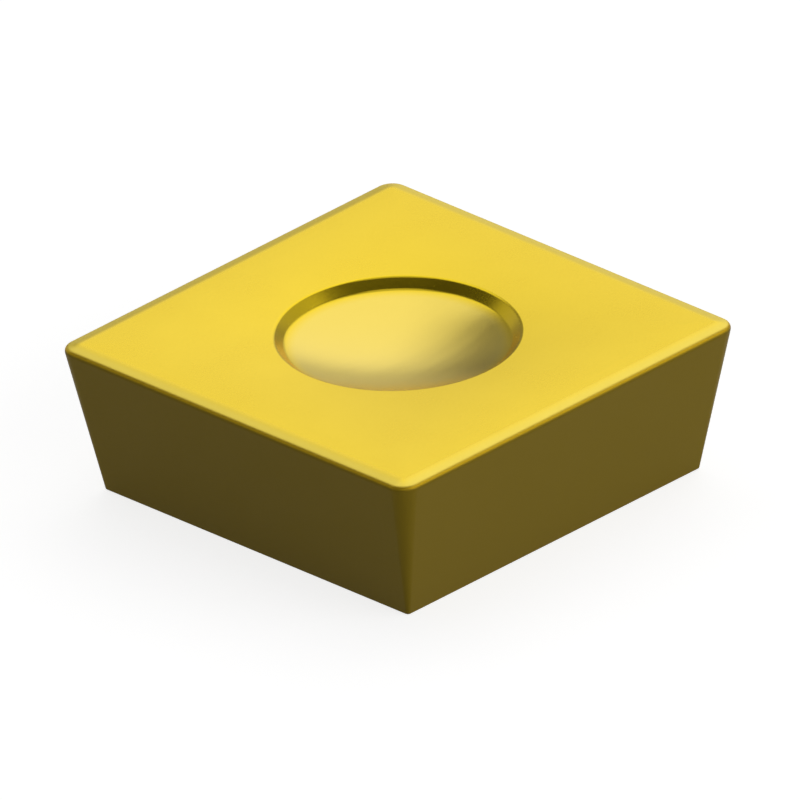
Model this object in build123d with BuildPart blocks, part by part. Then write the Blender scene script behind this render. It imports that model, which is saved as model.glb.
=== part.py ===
"""A square indexable carbide insert with 11 degree clearance and a closed clamping dimple.

Millimetres and degrees. The origin is the middle of the flat seat underneath, +Z points up
through the dimple, and the four cutting edges run along X and Y. The insert is pressed,
sintered and coated as one piece, so it is one solid.
"""

from build123d import *
from math import cos, radians, sin, tan
import os

os.makedirs("parts", exist_ok=True)

# Plan: the inscribed circle across the honed cutting edges, and the nose between two edges
inscribed_circle = 9.525
nose_radius = 0.4

# Height of the cutting edges above the seat, and the lean of the flanks below them
edge_height = 3.18
clearance_angle = 11

# Edge preparation: a negative land rises from each cutting edge, and the edge has a round hone
land_width = 0.30
land_angle = 10
land_blend_radius = 0.6
hone_radius = 0.11

# Underside: each nose narrows to this radius, and the rim of the seat is slightly broken
seat_nose_radius = 0.08
seat_rim_radius = 0.04

# Clamping dimple: a short cone goes down from the rim to a crease, then a shallow dish follows
rim_diameter = 4.9
wall_depth = 0.2
wall_angle = 45
dish_depth = 0.3
rim_lip_radius = 0.1
crease_blend_radius = 0.15

# The hone takes a little off each sharp edge, so the sharp square is larger than the circle
clearance = radians(clearance_angle)
land_slope = radians(land_angle)
hone_setback = hone_radius * ((cos(clearance) + sin(land_slope)) / (1 + sin(land_slope - clearance)) - 1)
edge_length = inscribed_circle + 2 * hone_setback
seat_length = edge_length - 2 * edge_height * tan(clearance)

# Stations of the dimple's profile, down from the flat top inside the lands
land_rise = land_width * sin(land_slope)
top_height = edge_height + land_rise
rim_radius = rim_diameter / 2
crease_radius = rim_radius - wall_depth * tan(radians(wall_angle))
crease_height = top_height - wall_depth
dish_height = crease_height - dish_depth
dish_radius = (crease_radius**2 + dish_depth**2) / (2 * dish_depth)


def corner_outside_nose(length, radius):
    """Draw the patch that lies outside the rounded nose at one corner of a square."""
    nose_centre = length / 2 - radius
    with Locations((nose_centre, nose_centre)):
        Rectangle(2 * radius, 2 * radius, align=(Align.MIN, Align.MIN))
        Circle(radius, mode=Mode.SUBTRACT)


with BuildPart() as carbide_insert:
    # Block as wide as the cutting edges, with its four flanks leaning in below them
    edge_plane = Plane.XY.offset(edge_height)
    with BuildSketch():
        Rectangle(edge_length, edge_length)
    extrude(amount=edge_height)
    flanks = faces().filter_by(Axis.Z, reverse=True)
    draft(flanks, neutral_plane=edge_plane, angle=-clearance_angle)

    # Noses: each one tapers from the nose radius at the cutting edge to nearly sharp at the seat
    for quarter_turn in range(4):
        corner_plane = Plane.XY.rotated((0, 0, 90 * quarter_turn))
        with BuildSketch(corner_plane):
            corner_outside_nose(seat_length, seat_nose_radius)
        with BuildSketch(corner_plane.offset(edge_height)):
            corner_outside_nose(edge_length, nose_radius)
        loft(ruled=True, mode=Mode.SUBTRACT)

    # Lands: from the cutting edges, round the noses too, the top slopes up to the flat
    with BuildSketch(edge_plane):
        RectangleRounded(edge_length, edge_length, nose_radius)
    extrude(amount=land_rise, taper=90 - land_angle)

    # Hone along the cutting edges, soft start of the lands, and broken rim of the seat
    cutting_edges = edges().group_by(Axis.Z)[2]
    fillet(cutting_edges, hone_radius)
    fillet(faces().filter_by(Axis.Z).sort_by(Axis.Z)[-1].edges(), land_blend_radius)
    fillet(faces().filter_by(Axis.Z).sort_by(Axis.Z)[0].edges(), seat_rim_radius)

    # Dimple: its profile is turned about the insert's own axis, and both its corners are eased
    with BuildSketch(Plane.XZ):
        with BuildLine():
            mouth = Line((0, top_height), (rim_radius, top_height))
            wall = Line(mouth @ 1, (crease_radius, crease_height))
            dish = RadiusArc(wall @ 1, (0, dish_height), dish_radius)
            Line(dish @ 1, mouth @ 0)
        make_face()
    revolve(axis=Axis.Z, mode=Mode.SUBTRACT)
    fillet(edges().filter_by(lambda edge: edge.is_closed).sort_by(Axis.Z)[-1], rim_lip_radius)
    fillet(edges().filter_by(lambda edge: edge.is_closed).sort_by(Axis.Z)[0], crease_blend_radius)

carbide_insert.part.label = "carbide_insert"
export_step(carbide_insert.part, "parts/carbide_insert.step")
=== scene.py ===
"""Looks of a square carbide insert: gold coated, with a closed clamping dimple in its top.

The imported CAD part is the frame. One fine mesh takes the place of the CAD node, with the same
sizes. It is modelled in millimetres and ends in metres. The coating, the camera, a pale floor
and a studio lit by soft windows follow.
"""

from math import asin, cos, pi, radians, sin, tan

import bmesh
import bpy
from mathutils import Matrix, Vector


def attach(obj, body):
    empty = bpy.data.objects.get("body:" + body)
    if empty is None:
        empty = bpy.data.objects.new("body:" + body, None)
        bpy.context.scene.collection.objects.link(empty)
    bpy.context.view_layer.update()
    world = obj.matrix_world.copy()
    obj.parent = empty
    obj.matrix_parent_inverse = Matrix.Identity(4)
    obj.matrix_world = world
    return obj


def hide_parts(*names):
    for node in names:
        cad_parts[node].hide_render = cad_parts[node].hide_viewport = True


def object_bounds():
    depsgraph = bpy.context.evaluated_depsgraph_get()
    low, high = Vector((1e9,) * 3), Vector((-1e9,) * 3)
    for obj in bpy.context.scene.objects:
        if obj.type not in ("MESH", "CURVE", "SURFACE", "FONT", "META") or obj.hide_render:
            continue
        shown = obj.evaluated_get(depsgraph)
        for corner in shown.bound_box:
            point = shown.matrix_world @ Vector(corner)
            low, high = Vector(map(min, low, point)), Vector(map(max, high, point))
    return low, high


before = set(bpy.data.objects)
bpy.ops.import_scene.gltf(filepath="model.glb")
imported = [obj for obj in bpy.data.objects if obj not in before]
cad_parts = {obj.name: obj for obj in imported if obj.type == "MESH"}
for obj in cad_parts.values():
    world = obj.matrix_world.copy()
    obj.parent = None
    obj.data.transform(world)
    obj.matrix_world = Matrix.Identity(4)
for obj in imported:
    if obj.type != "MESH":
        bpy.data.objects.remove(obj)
cad_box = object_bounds()

# One millimetre in metres
MM = 0.001

# Overall width and height of the insert, in millimetres, from the frame
inscribed_circle = (cad_box[1].x - cad_box[0].x) / MM
top_height = cad_box[1].z / MM

# Noses, flanks and underside, in millimetres and degrees
nose_radius = 0.4
clearance_angle = 11
seat_nose_radius = 0.08
seat_rim_radius = 0.04

# Edge preparation: land, the soft start of the land, and hone
land_width = 0.30
land_angle = 10
land_blend_radius = 0.6
hone_radius = 0.11

# Clamping dimple: cone and dish, with the roundings at its rim and at its crease
rim_diameter = 4.9
wall_depth = 0.2
wall_angle = 45
dish_depth = 0.3
rim_lip_radius = 0.1
crease_blend_radius = 0.15

# Fineness of the mesh: steps round a nose, along a side, down the dish and across a rounding
NOSE_STEPS = 12
SIDE_STEPS = 36
DISH_STEPS = 24
HONE_STEPS = 14
BLEND_STEPS = 6
ROUND_MOUTH_STEPS = 4 * (NOSE_STEPS + SIDE_STEPS)

# Two places this close, in millimetres, are the same place
TOUCH = 0.0005

# Sizes that follow from the ones above
clearance = radians(clearance_angle)
land_slope = radians(land_angle)
land_run = land_width * cos(land_slope)
land_rise = land_width * sin(land_slope)
edge_height = top_height - land_rise
hone_setback = hone_radius * ((cos(clearance) + sin(land_slope)) / (1 + sin(land_slope - clearance)) - 1)
edge_length = inscribed_circle + 2 * hone_setback
seat_length = edge_length - 2 * edge_height * tan(clearance)
rim_radius = rim_diameter / 2
wall_run = wall_depth * tan(radians(wall_angle))
crease_radius = rim_radius - wall_run
crease_height = top_height - wall_depth
dish_radius = (crease_radius**2 + dish_depth**2) / (2 * dish_depth)
dish_slope = asin(crease_radius / dish_radius)


# Choosing vertices, edges and faces by their place

def select(piece, kind, wanted):
    """Select just those vertices, edges or faces of the piece in edit mode that the test picks."""
    bpy.ops.mesh.select_mode(type=kind)
    bpy.ops.mesh.select_all(action="DESELECT")
    mesh = bmesh.from_edit_mesh(piece.data)
    elements = {"VERT": mesh.verts, "EDGE": mesh.edges, "FACE": mesh.faces}[kind]
    for element in elements:
        if wanted(element):
            element.select_set(True)
    bmesh.update_edit_mesh(piece.data)


def level(edge, height):
    """Whether an edge lies level at this height."""
    return all(abs(vertex.co.z - height) < TOUCH for vertex in edge.verts)


def is_ring(edge, radius):
    """Whether both ends of an edge lie on a circle round the axis."""
    return all(abs(vertex.co.xy.length - radius) < TOUCH for vertex in edge.verts)


def faces_up(face):
    """Whether a face looks straight up, to within a degree."""
    return face.normal.z > cos(radians(1))


def is_outline(edge):
    """Whether an edge of the flat top runs along its outer outline."""
    from_axis = min(vertex.co.xy.length for vertex in edge.verts)
    return from_axis > rim_radius + TOUCH and not all(faces_up(face) for face in edge.link_faces)


# Shaping the insert

def shape_block(piece):
    """A block as wide and high as the cutting edges, with its upright edges rounded."""
    bpy.ops.transform.resize(value=(edge_length, edge_length, edge_height))
    bpy.ops.transform.translate(value=(0, 0, edge_height / 2))
    select(piece, "EDGE", lambda edge: not level(edge, 0) and not level(edge, edge_height))
    bpy.ops.mesh.bevel(offset=nose_radius, segments=NOSE_STEPS, affect="EDGES")
    long_side = edge_length / 2
    select(piece, "EDGE", lambda edge: edge.calc_length() > long_side)
    bpy.ops.mesh.subdivide(number_cuts=SIDE_STEPS - 1)


def taper_flanks(piece):
    """The flanks lean in to the seat, and each nose narrows on its way down."""
    seat_share = seat_length / edge_length
    select(piece, "VERT", lambda vertex: vertex.co.z < TOUCH)
    bpy.ops.transform.resize(value=(seat_share, seat_share, 1), center_override=(0, 0, 0))
    nose_share = seat_nose_radius / (nose_radius * seat_share)
    nose_start = (edge_length / 2 - nose_radius) * seat_share - TOUCH
    for side_x in (-1, 1):
        for side_y in (-1, 1):
            select(piece, "VERT", lambda vertex: (
                vertex.co.z < TOUCH
                and vertex.co.x * side_x > nose_start
                and vertex.co.y * side_y > nose_start
            ))
            corner = (side_x * seat_length / 2, side_y * seat_length / 2, 0)
            bpy.ops.transform.resize(value=(nose_share, nose_share, 1), center_override=corner)


def raise_lands(piece):
    """From the cutting edges, the top slopes up to the flat."""
    select(piece, "FACE", faces_up)
    bpy.ops.mesh.inset(thickness=land_run, depth=land_rise)


def open_mouth(piece):
    """The flat top gets a round face in its middle, bridged to its outline and then lowered."""
    select(piece, "FACE", faces_up)
    bpy.ops.mesh.delete(type="ONLY_FACE")
    raised = top_height + rim_radius
    bpy.ops.mesh.primitive_circle_add(
        vertices=ROUND_MOUTH_STEPS, radius=rim_radius, location=(0, 0, raised)
    )
    select(piece, "EDGE", lambda edge: level(edge, top_height) or level(edge, raised))
    bpy.ops.mesh.bridge_edge_loops()
    select(piece, "EDGE", lambda edge: level(edge, raised))
    bpy.ops.mesh.edge_face_add()
    bpy.ops.transform.translate(value=(0, 0, top_height - raised))


def sink_dimple(piece):
    """The round face goes down a cone to the crease, and then in rings down the dish."""
    select(piece, "FACE", lambda face: len(face.verts) == ROUND_MOUTH_STEPS and faces_up(face))
    bpy.ops.mesh.inset(thickness=wall_run, depth=-wall_depth)
    slope = dish_slope
    for step in range(1, DISH_STEPS):
        next_slope = dish_slope * (1 - step / DISH_STEPS)
        inward = dish_radius * (sin(slope) - sin(next_slope))
        down = dish_radius * (cos(next_slope) - cos(slope))
        bpy.ops.mesh.inset(thickness=inward, depth=-down)
        slope = next_slope
    bpy.ops.mesh.poke(offset=-dish_radius * (1 - cos(slope)))


def round_off(piece, wanted, radius, turn, steps):
    """Round a closed row of edges to a radius, where the surface turns by so many degrees."""
    select(piece, "EDGE", wanted)
    bpy.ops.mesh.bevel(offset=radius * tan(radians(turn) / 2), segments=steps, affect="EDGES")


def round_edges(piece):
    """Hone, soft start of the lands, broken rim of the seat, and both corners of the dimple."""
    flank_turn = 90 + clearance_angle - land_angle
    crease_turn = wall_angle - dish_slope * 180 / pi
    round_off(piece, lambda edge: level(edge, edge_height), hone_radius, flank_turn, HONE_STEPS)
    round_off(
        piece,
        lambda edge: level(edge, top_height) and is_outline(edge),
        land_blend_radius, land_angle, BLEND_STEPS,
    )
    seat_turn = 90 - clearance_angle
    round_off(piece, lambda edge: level(edge, 0), seat_rim_radius, seat_turn, BLEND_STEPS)
    round_off(
        piece,
        lambda edge: level(edge, top_height) and is_ring(edge, rim_radius),
        rim_lip_radius, wall_angle, BLEND_STEPS,
    )
    round_off(
        piece,
        lambda edge: level(edge, crease_height) and is_ring(edge, crease_radius),
        crease_blend_radius, crease_turn, BLEND_STEPS,
    )


def close_mesh(piece):
    """Merge doubles, turn the faces outward, go to metres and shade smoothly round the flats."""
    bpy.ops.mesh.select_all(action="SELECT")
    bpy.ops.mesh.remove_doubles(threshold=TOUCH)
    bpy.ops.mesh.normals_make_consistent(inside=False)
    bpy.ops.transform.resize(value=(MM, MM, MM), center_override=(0, 0, 0))
    bpy.ops.object.mode_set(mode="OBJECT")
    bpy.ops.object.shade_smooth()
    normals = piece.modifiers.new("flat faces stay flat", "WEIGHTED_NORMAL")
    normals.weight = 100
    bpy.ops.object.modifier_apply(modifier=normals.name)


def model_insert():
    """The whole insert as one closed mesh."""
    bpy.ops.object.select_all(action="DESELECT")
    bpy.ops.mesh.primitive_cube_add(size=1)
    piece = bpy.context.active_object
    piece.name = "coated_insert"
    bpy.ops.object.mode_set(mode="EDIT")
    shape_block(piece)
    taper_flanks(piece)
    raise_lands(piece)
    open_mouth(piece)
    sink_dimple(piece)
    round_edges(piece)
    close_mesh(piece)
    return piece


# Shader maths

class Link:
    """The output of a node. Arithmetic on it adds Math nodes."""

    def __init__(self, nodes, socket):
        self.nodes = nodes
        self.socket = socket

    def maths(self, operation, *others):
        """One Math node that works on this output and the others."""
        return self.nodes.add("ShaderNodeMath", {"operation": operation}, (self, *others))

    def __add__(self, other):
        return self.maths("ADD", other)

    __radd__ = __add__

    def __sub__(self, other):
        return self.maths("SUBTRACT", other)

    def __rsub__(self, other):
        return self.maths("MULTIPLY", -1).maths("ADD", other)

    def __mul__(self, other):
        return self.maths("MULTIPLY", other)

    __rmul__ = __mul__

    def __truediv__(self, other):
        return self.maths("DIVIDE", other)

    def __pow__(self, other):
        return self.maths("POWER", other)

    def __abs__(self):
        return self.maths("ABSOLUTE")

    def larger(self, other):
        """The larger of this output and another."""
        return self.maths("MAXIMUM", other)

    def ramp(self, start, end):
        """A soft rise from 0 at start to 1 at end."""
        return self.nodes.add(
            "ShaderNodeMapRange",
            {"interpolation_type": "SMOOTHSTEP"},
            {"Value": self, "From Min": start, "From Max": end},
        )

    def fade(self, place, spread):
        """A soft rise from 0 to 1 across the spread, which is measured from this place."""
        return self.ramp(place + spread[0], place + spread[1])


class Nodes:
    """Adds nodes to one node tree, which it empties first."""

    def __init__(self, tree):
        self.tree = tree
        tree.nodes.clear()

    def add(self, kind, settings=None, sockets=(), output=0):
        """Add a node, set its settings, then fill its sockets by name, by number or in order."""
        node = self.tree.nodes.new(kind)
        for name, value in (settings or {}).items():
            setattr(node, name, value)
        pairs = sockets.items() if isinstance(sockets, dict) else enumerate(sockets)
        for key, value in pairs:
            if isinstance(value, Link):
                self.tree.links.new(value.socket, node.inputs[key])
            else:
                node.inputs[key].default_value = value
        return Link(self, node.outputs[output]) if len(node.outputs) else None

    def dot(self, first, second):
        """How far one vector reaches along another."""
        return self.add("ShaderNodeVectorMath", {"operation": "DOT_PRODUCT"}, (first, second), 1)

    def noise(self, vector, scale, detail):
        """Noise between 0 and 1."""
        facts = {"Vector": vector, "Scale": scale, "Detail": detail}
        return self.add("ShaderNodeTexNoise", {}, facts)

    def mix_colour(self, factor, first, second):
        """The first colour where the factor is 0, and the second where it is 1."""
        return self.add("ShaderNodeMix", {"data_type": "RGBA"}, {0: factor, 6: first, 7: second}, 2)


# Finishes. The flank and hone colours hold painted shade, the dish and land colours painted highlights

TOP_GOLD = (0.88, 0.634, 0.02, 1)
# Dish: paler and whiter than the top, a painted highlight standing in for the dish's gloss
DISH_PAINTED_HIGHLIGHT_GOLD = (0.84, 0.645, 0.115, 1)
# Lands: brighter and paler than the top, a painted highlight standing in for the glint along the edges
LAND_PAINTED_HIGHLIGHT_GOLD = (0.95, 0.75, 0.11, 1)
# Hone: darker and more orange than the top, painted shade standing in for the rounding turning away from
# the light
HONE_PAINTED_SHADE_GOLD = (0.80, 0.50, 0.015, 1)
# Flanks: a dark colour that is painted shade, standing in for the shade the flanks lie in; their duller,
# rougher finish below is the coating's own
FLANK_PAINTED_SHADE_GOLD = (0.244, 0.168, 0.010, 1)

# Where one finish fades into the next, in millimetres from the place that parts them
RIM_FADE = (0, 0.3)
CREASE_FADE = (-0.25, 0.05)
FLANK_FADE = (-0.07, 0.005)
HONE_FADE = (-0.02, 0.02)
LAND_FADE = (-1.3 * land_width, -hone_radius)

# Below the first height all is outside the dimple, and above the second what lies beyond its rim
UNDER_DIMPLE = (1.0, 2.0)

# Roughness of the top, less in the dish, more on lands and flanks, and uneven from place to place
TOP_ROUGHNESS = 0.25
DISH_SMOOTHNESS = 0.05
EDGE_ROUGHNESS = 0.2
GRAIN_ROUGHNESS = 0.1
CLOUD_ROUGHNESS = 0.06

# How much less metallic the flanks are, and how strongly what isn't metallic reflects
FLANK_DULLNESS = 0.9
SPECULAR = 0.05

# Noises, in features to the millimetre. The streaks are the dish's, and run nearly along X
GRAIN_SCALE = 22
CLOUD_SCALE = 0.9
STREAK_SCALE = (0.3, 2.0, 0.3)
STREAK_TURN = 11

# Bump, where the streaks count this many times as much as the grain
STREAK_WEIGHT = 5
BUMP_STRENGTH = 0.08
BUMP_HEIGHT = 0.01 * MM

# Outputs of the Texture Coordinate node
GENERATED = 0
OBJECT = 3


def gold_coating():
    """Satin gold coating: fine grain all over, duller on the flanks. Its colours hold painted light:
    painted shade darkens the flanks and hones, and painted highlights pale the dish and brighten the
    lands.
    """
    material = bpy.data.materials.new("gold_coating")
    material.use_nodes = True
    nodes = Nodes(material.node_tree)
    place = nodes.add("ShaderNodeMapping", {}, {
        "Vector": nodes.add("ShaderNodeTexCoord", output=OBJECT), "Scale": (1 / MM, 1 / MM, 1 / MM),
    })
    split = nodes.add("ShaderNodeSeparateXYZ", sockets=(place,))
    x, y, z = (Link(nodes, split.socket.node.outputs[axis]) for axis in range(3))
    from_axis = (x * x + y * y) ** 0.5
    from_middle = abs(x).larger(abs(y))

    outside_dimple = from_middle.fade(rim_radius, RIM_FADE).larger(1 - z.fade(0, UNDER_DIMPLE))
    dish = 1 - from_axis.fade(crease_radius, CREASE_FADE)
    land = from_middle.fade(inscribed_circle / 2, LAND_FADE)
    hone = outside_dimple * (1 - z.fade(edge_height, HONE_FADE))
    flank = outside_dimple * (1 - z.fade(edge_height, FLANK_FADE))

    along_x = nodes.add("ShaderNodeMapping", {}, {
        "Vector": place, "Rotation": (0, 0, radians(STREAK_TURN)), "Scale": STREAK_SCALE,
    })
    grain = nodes.noise(place, GRAIN_SCALE, detail=3)
    cloud = nodes.noise(place, CLOUD_SCALE, detail=2)
    streaks = nodes.noise(along_x, scale=1, detail=1) * dish

    # Painted highlight: the dish takes the paler colour
    colour = nodes.mix_colour(dish, TOP_GOLD, DISH_PAINTED_HIGHLIGHT_GOLD)
    # Painted highlight: the lands take the brighter colour
    colour = nodes.mix_colour(land, colour, LAND_PAINTED_HIGHLIGHT_GOLD)
    # Painted shade: the hone takes the darker colour
    colour = nodes.mix_colour(hone, colour, HONE_PAINTED_SHADE_GOLD)
    # Painted shade: the flanks take the dark colour
    colour = nodes.mix_colour(flank, colour, FLANK_PAINTED_SHADE_GOLD)
    roughness = TOP_ROUGHNESS - dish * DISH_SMOOTHNESS + land.larger(flank) * EDGE_ROUGHNESS
    roughness += (grain - 0.5) * GRAIN_ROUGHNESS + (cloud - 0.5) * CLOUD_ROUGHNESS
    bump = nodes.add("ShaderNodeBump", {}, {
        "Strength": BUMP_STRENGTH, "Distance": BUMP_HEIGHT, "Height": grain + streaks * STREAK_WEIGHT,
    })
    shader = nodes.add("ShaderNodeBsdfPrincipled", {}, {
        "Base Color": colour, "Metallic": 1 - flank * FLANK_DULLNESS, "Roughness": roughness,
        "Normal": bump, "Specular IOR Level": SPECULAR,
    })
    nodes.add("ShaderNodeOutputMaterial", {}, {"Surface": shader})
    return material


# Piece

insert = model_insert()
insert.data.materials.clear()
insert.data.materials.append(gold_coating())
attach(insert, "root")
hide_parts("carbide_insert")


# Camera: parallel view from above the front corner, framed as the photograph is

VIEW_AZIMUTH = -45.20
VIEW_ELEVATION = 27.36
VIEW_ROLL = -1.93
PICTURE_WIDTH = 800
PIXELS_PER_MM = 50.7
SEAT_CENTRE_PIXEL = (402.5, 478.5)
CAMERA_DISTANCE = 0.1


def toward(azimuth, elevation):
    """The unit vector that points from the insert to this azimuth and elevation, in degrees."""
    turn, lift = radians(azimuth), radians(elevation)
    return Vector((sin(turn) * cos(lift), -cos(turn) * cos(lift), sin(lift)))


def add_camera():
    """A parallel camera whose picture has the seat's centre where the photograph has it."""
    outward = toward(VIEW_AZIMUTH, VIEW_ELEVATION)
    roll = Matrix.Rotation(radians(VIEW_ROLL), 4, "Z").to_quaternion()
    turn = (-outward).to_track_quat("-Z", "Y") @ roll
    right, up = turn @ Vector((1, 0, 0)), turn @ Vector((0, 1, 0))
    pixel = MM / PIXELS_PER_MM
    off_right = (PICTURE_WIDTH / 2 - SEAT_CENTRE_PIXEL[0]) * pixel
    off_up = (SEAT_CENTRE_PIXEL[1] - PICTURE_WIDTH / 2) * pixel
    bpy.ops.object.camera_add()
    camera = bpy.context.active_object
    camera.name = "camera"
    camera.rotation_mode = "QUATERNION"
    camera.rotation_quaternion = turn
    camera.location = outward * CAMERA_DISTANCE + right * off_right + up * off_up
    camera.data.type = "ORTHO"
    camera.data.ortho_scale = PICTURE_WIDTH * pixel
    camera.data.clip_start = 0.001
    camera.data.clip_end = 10
    bpy.context.scene.camera = camera


add_camera()


# Floor

FLOOR_RADIUS = 1.0
FLOOR_GREY = (0.45, 0.45, 0.45, 1)
FLOOR_GLOW = 0.80


def seen_directly(nodes):
    """1 for camera, glossy and transmission rays, and 0 for the rays that carry light."""
    path = nodes.add("ShaderNodeLightPath")
    rays = {name: Link(nodes, path.socket.node.outputs[name]) for name in (
        "Is Camera Ray", "Is Glossy Ray", "Is Transmission Ray",
    )}
    return rays["Is Camera Ray"].larger(rays["Is Glossy Ray"]).larger(rays["Is Transmission Ray"])


def pale_floor():
    """Grey floor that glows up to white where it is seen, and keeps the insert's shadow."""
    material = bpy.data.materials.new("pale_floor")
    material.use_nodes = True
    nodes = Nodes(material.node_tree)
    glow = seen_directly(nodes) * FLOOR_GLOW
    matt = nodes.add("ShaderNodeBsdfDiffuse", {}, {"Color": FLOOR_GREY})
    light = nodes.add("ShaderNodeEmission", {}, {"Color": (1, 1, 1, 1), "Strength": glow})
    both = nodes.add("ShaderNodeAddShader", {}, (matt, light))
    nodes.add("ShaderNodeOutputMaterial", {}, {"Surface": both})
    return material


bpy.ops.object.select_all(action="DESELECT")
bpy.ops.mesh.primitive_circle_add(vertices=64, radius=FLOOR_RADIUS, fill_type="NGON")
floor = bpy.context.active_object
floor.name = "floor"
floor.data.materials.append(pale_floor())


# Studio: soft windows of light round a dim room. Azimuth 0 is ahead of the camera, 90 its right

ROOM_LEVEL = 0.06
NEARLY_ZERO = 0.001

# Each window's azimuth and elevation in degrees, its half width and half height as tangents at the
# insert, the softness of its edges as a share of those, and its radiance
WINDOWS = (
    # Ahead: the main one for the top, a higher one, a low one for the far lands, and a dim one
    (19, 43, 0.45, 0.53, 0.42, 1.14),
    (-22, 56, 0.40, 0.30, 0.40, 1.05),
    (14, 11, 0.35, 0.12, 0.40, 0.56),
    (-24, 18, 0.30, 0.30, 0.40, 0.25),
    # On the right: a dim one, a broad one, and a strip near the floor for the right flank
    (60, 34, 0.35, 0.45, 0.50, 0.45),
    (112, 24, 0.50, 0.37, 0.30, 1.45),
    (112, 5, 0.50, 0.11, 0.30, 2.40),
    # Behind the camera, mostly for views from the far side
    (166, 20, 0.50, 0.32, 0.40, 0.72),
    # On the left: dimmer ones, because the left flank is the darker one
    (-125, 18, 0.50, 0.28, 0.40, 0.18),
    (-87, 17, 0.45, 0.22, 0.40, 0.62),
    (-50, 20, 0.30, 0.24, 0.40, 0.50),
    # Overhead
    (0, 80, 0.30, 0.40, 0.30, 0.60),
)


def window(nodes, direction, azimuth, elevation, half_width, half_height, softness, radiance):
    """A rectangle of light with soft edges, far off in this direction from the insert."""
    outward = toward(VIEW_AZIMUTH + 180 - azimuth, elevation)
    side = Vector((0, 0, 1)).cross(outward).normalized()
    ahead = nodes.dot(direction, outward).larger(NEARLY_ZERO)
    light = radiance
    for axis, half in ((side, half_width), (outward.cross(side), half_height)):
        from_middle = abs(nodes.dot(direction, axis)) / ahead
        light = (1 - from_middle.ramp(half * (1 - softness), half * (1 + softness))) * light
    return light


def light_room():
    """The world: a dim room with its windows, and white ground below the horizon."""
    world = bpy.data.worlds.new("studio")
    bpy.context.scene.world = world
    world.use_nodes = True
    nodes = Nodes(world.node_tree)
    direction = nodes.add("ShaderNodeTexCoord", output=GENERATED)
    strength = nodes.dot(direction, (0, 0, -1)).ramp(0, NEARLY_ZERO).larger(ROOM_LEVEL)
    for window_facts in WINDOWS:
        strength = window(nodes, direction, *window_facts).larger(strength)
    background = nodes.add("ShaderNodeBackground", {}, {"Color": (1, 1, 1, 1), "Strength": strength})
    nodes.add("ShaderNodeOutputWorld", {}, {"Surface": background})


light_room()

bpy.context.scene.view_settings.view_transform = "Standard"
